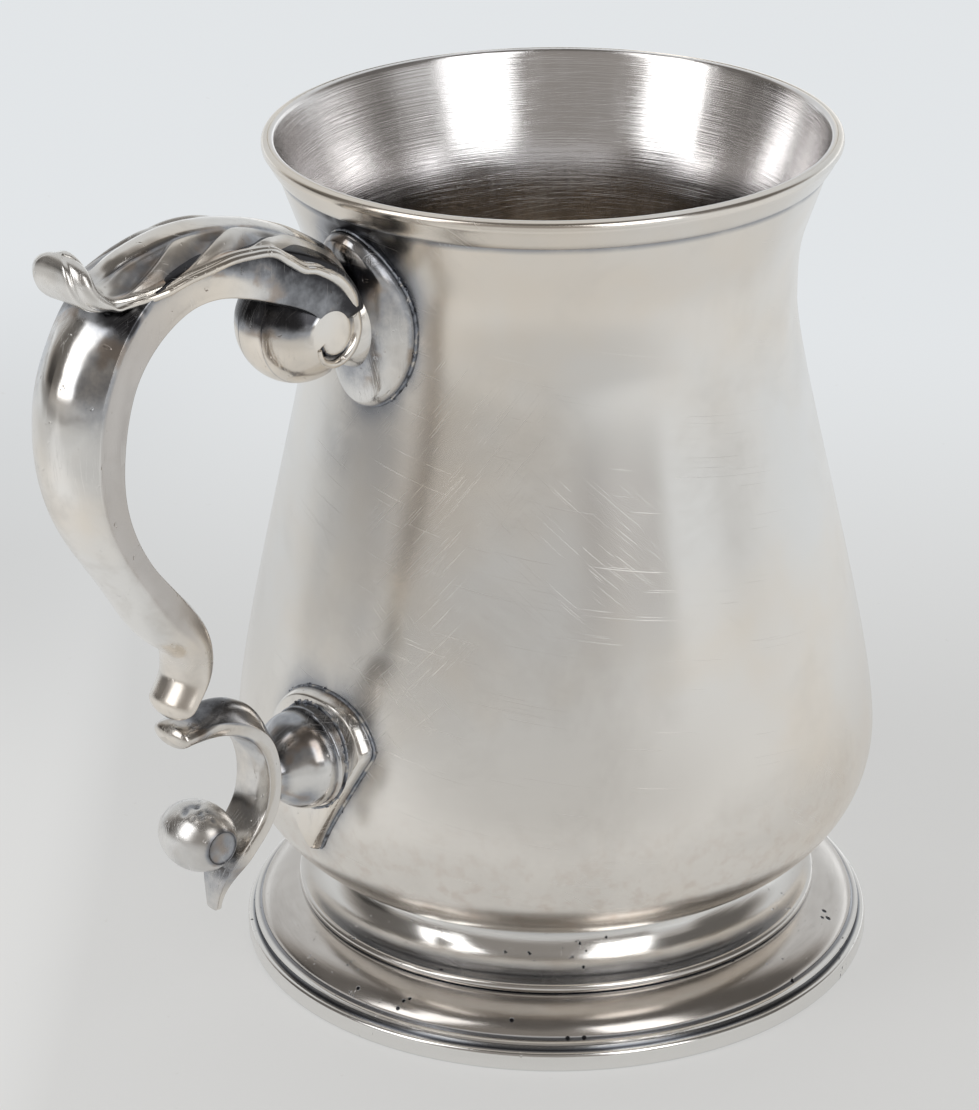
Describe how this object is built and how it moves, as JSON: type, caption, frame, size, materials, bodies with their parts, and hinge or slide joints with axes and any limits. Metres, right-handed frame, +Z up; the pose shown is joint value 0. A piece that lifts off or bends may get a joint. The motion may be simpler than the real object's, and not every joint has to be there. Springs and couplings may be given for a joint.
{
  "type": "silver mug",
  "caption": "Baluster drinking mug in silver with an applied rim band, a spreading moulded foot on a base wire, and a cast double-scroll handle capped by an acanthus leaf.",
  "frame": {"origin": "middle of the whole mug's bounding box in plan, on the table plane", "axes": "+Z up along the bowl's axis, -X towards the handle, Y across the handle; the bowl's axis stands at x = +22.05 mm"},
  "size_m": [0.1402, 0.096, 0.1305],
  "materials": {
    "body_silver": "hand-polished silver, softly scratched",
    "handle_silver": "bright polished cast silver with tarnish in the hollows",
    "foot_silver": "worn silver, dulled and pitted"
  },
  "bodies": {
    "root": {"bowl": "body_silver", "rim_band": "body_silver", "foot_dome": "foot_silver", "foot_base_wire": "foot_silver", "upper_plate": "body_silver", "upper_boss": "handle_silver", "grip_half_left": "handle_silver", "grip_half_right": "handle_silver", "leaf_cap": "handle_silver", "lower_scroll": "handle_silver", "lower_bulb": "handle_silver", "lower_boss": "handle_silver", "lower_plate": "body_silver"}
  },
  "joints": []
}
